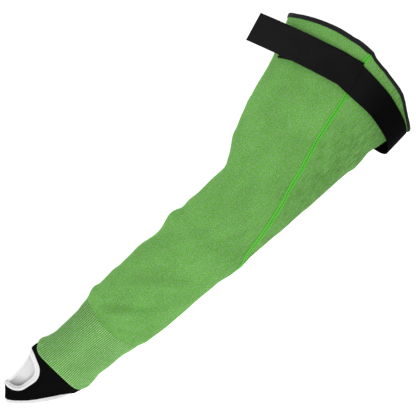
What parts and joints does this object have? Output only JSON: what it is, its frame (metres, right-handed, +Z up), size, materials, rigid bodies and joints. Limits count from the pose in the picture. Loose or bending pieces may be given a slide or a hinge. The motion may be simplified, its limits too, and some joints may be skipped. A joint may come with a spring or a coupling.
{
  "type": "cut resistant sleeve",
  "caption": "Long knitted arm sleeve with a ribbed cuff, a hand part with thumb hole and slanting finger edge, a raised seam, and a hook and loop strap round the upper arm.",
  "frame": {"origin": "on the resting surface, under the middle of the whole sleeve", "axes": "+X from the hand to the shoulder, +Y towards the thumb side, +Z up from the resting surface"},
  "size_m": [0.607, 0.2266, 0.0685],
  "materials": {
    "knit": "heathered fine knit, matte",
    "rib_knit": "ribbed knit, matte",
    "seam_thread": "flatlock thread, slight sheen",
    "binding": "woven tape, matte",
    "strap_loop": "brushed loop tape, matte",
    "strap_hook": "woven tape, matte",
    "hand_cloth": "smooth stretch cloth, matte",
    "lining": "brushed lining, matte",
    "thumb_trim": "elastic binding, matte"
  },
  "bodies": {
    "root": {"sleeve_body": "knit", "rib_cuff": "rib_knit", "long_seam": "seam_thread", "top_binding": "binding", "strap_band": "strap_loop", "strap_tab": "strap_hook", "hand_piece": "hand_cloth", "hand_lining": "lining", "thumb_binding": "thumb_trim"}
  },
  "joints": []
}
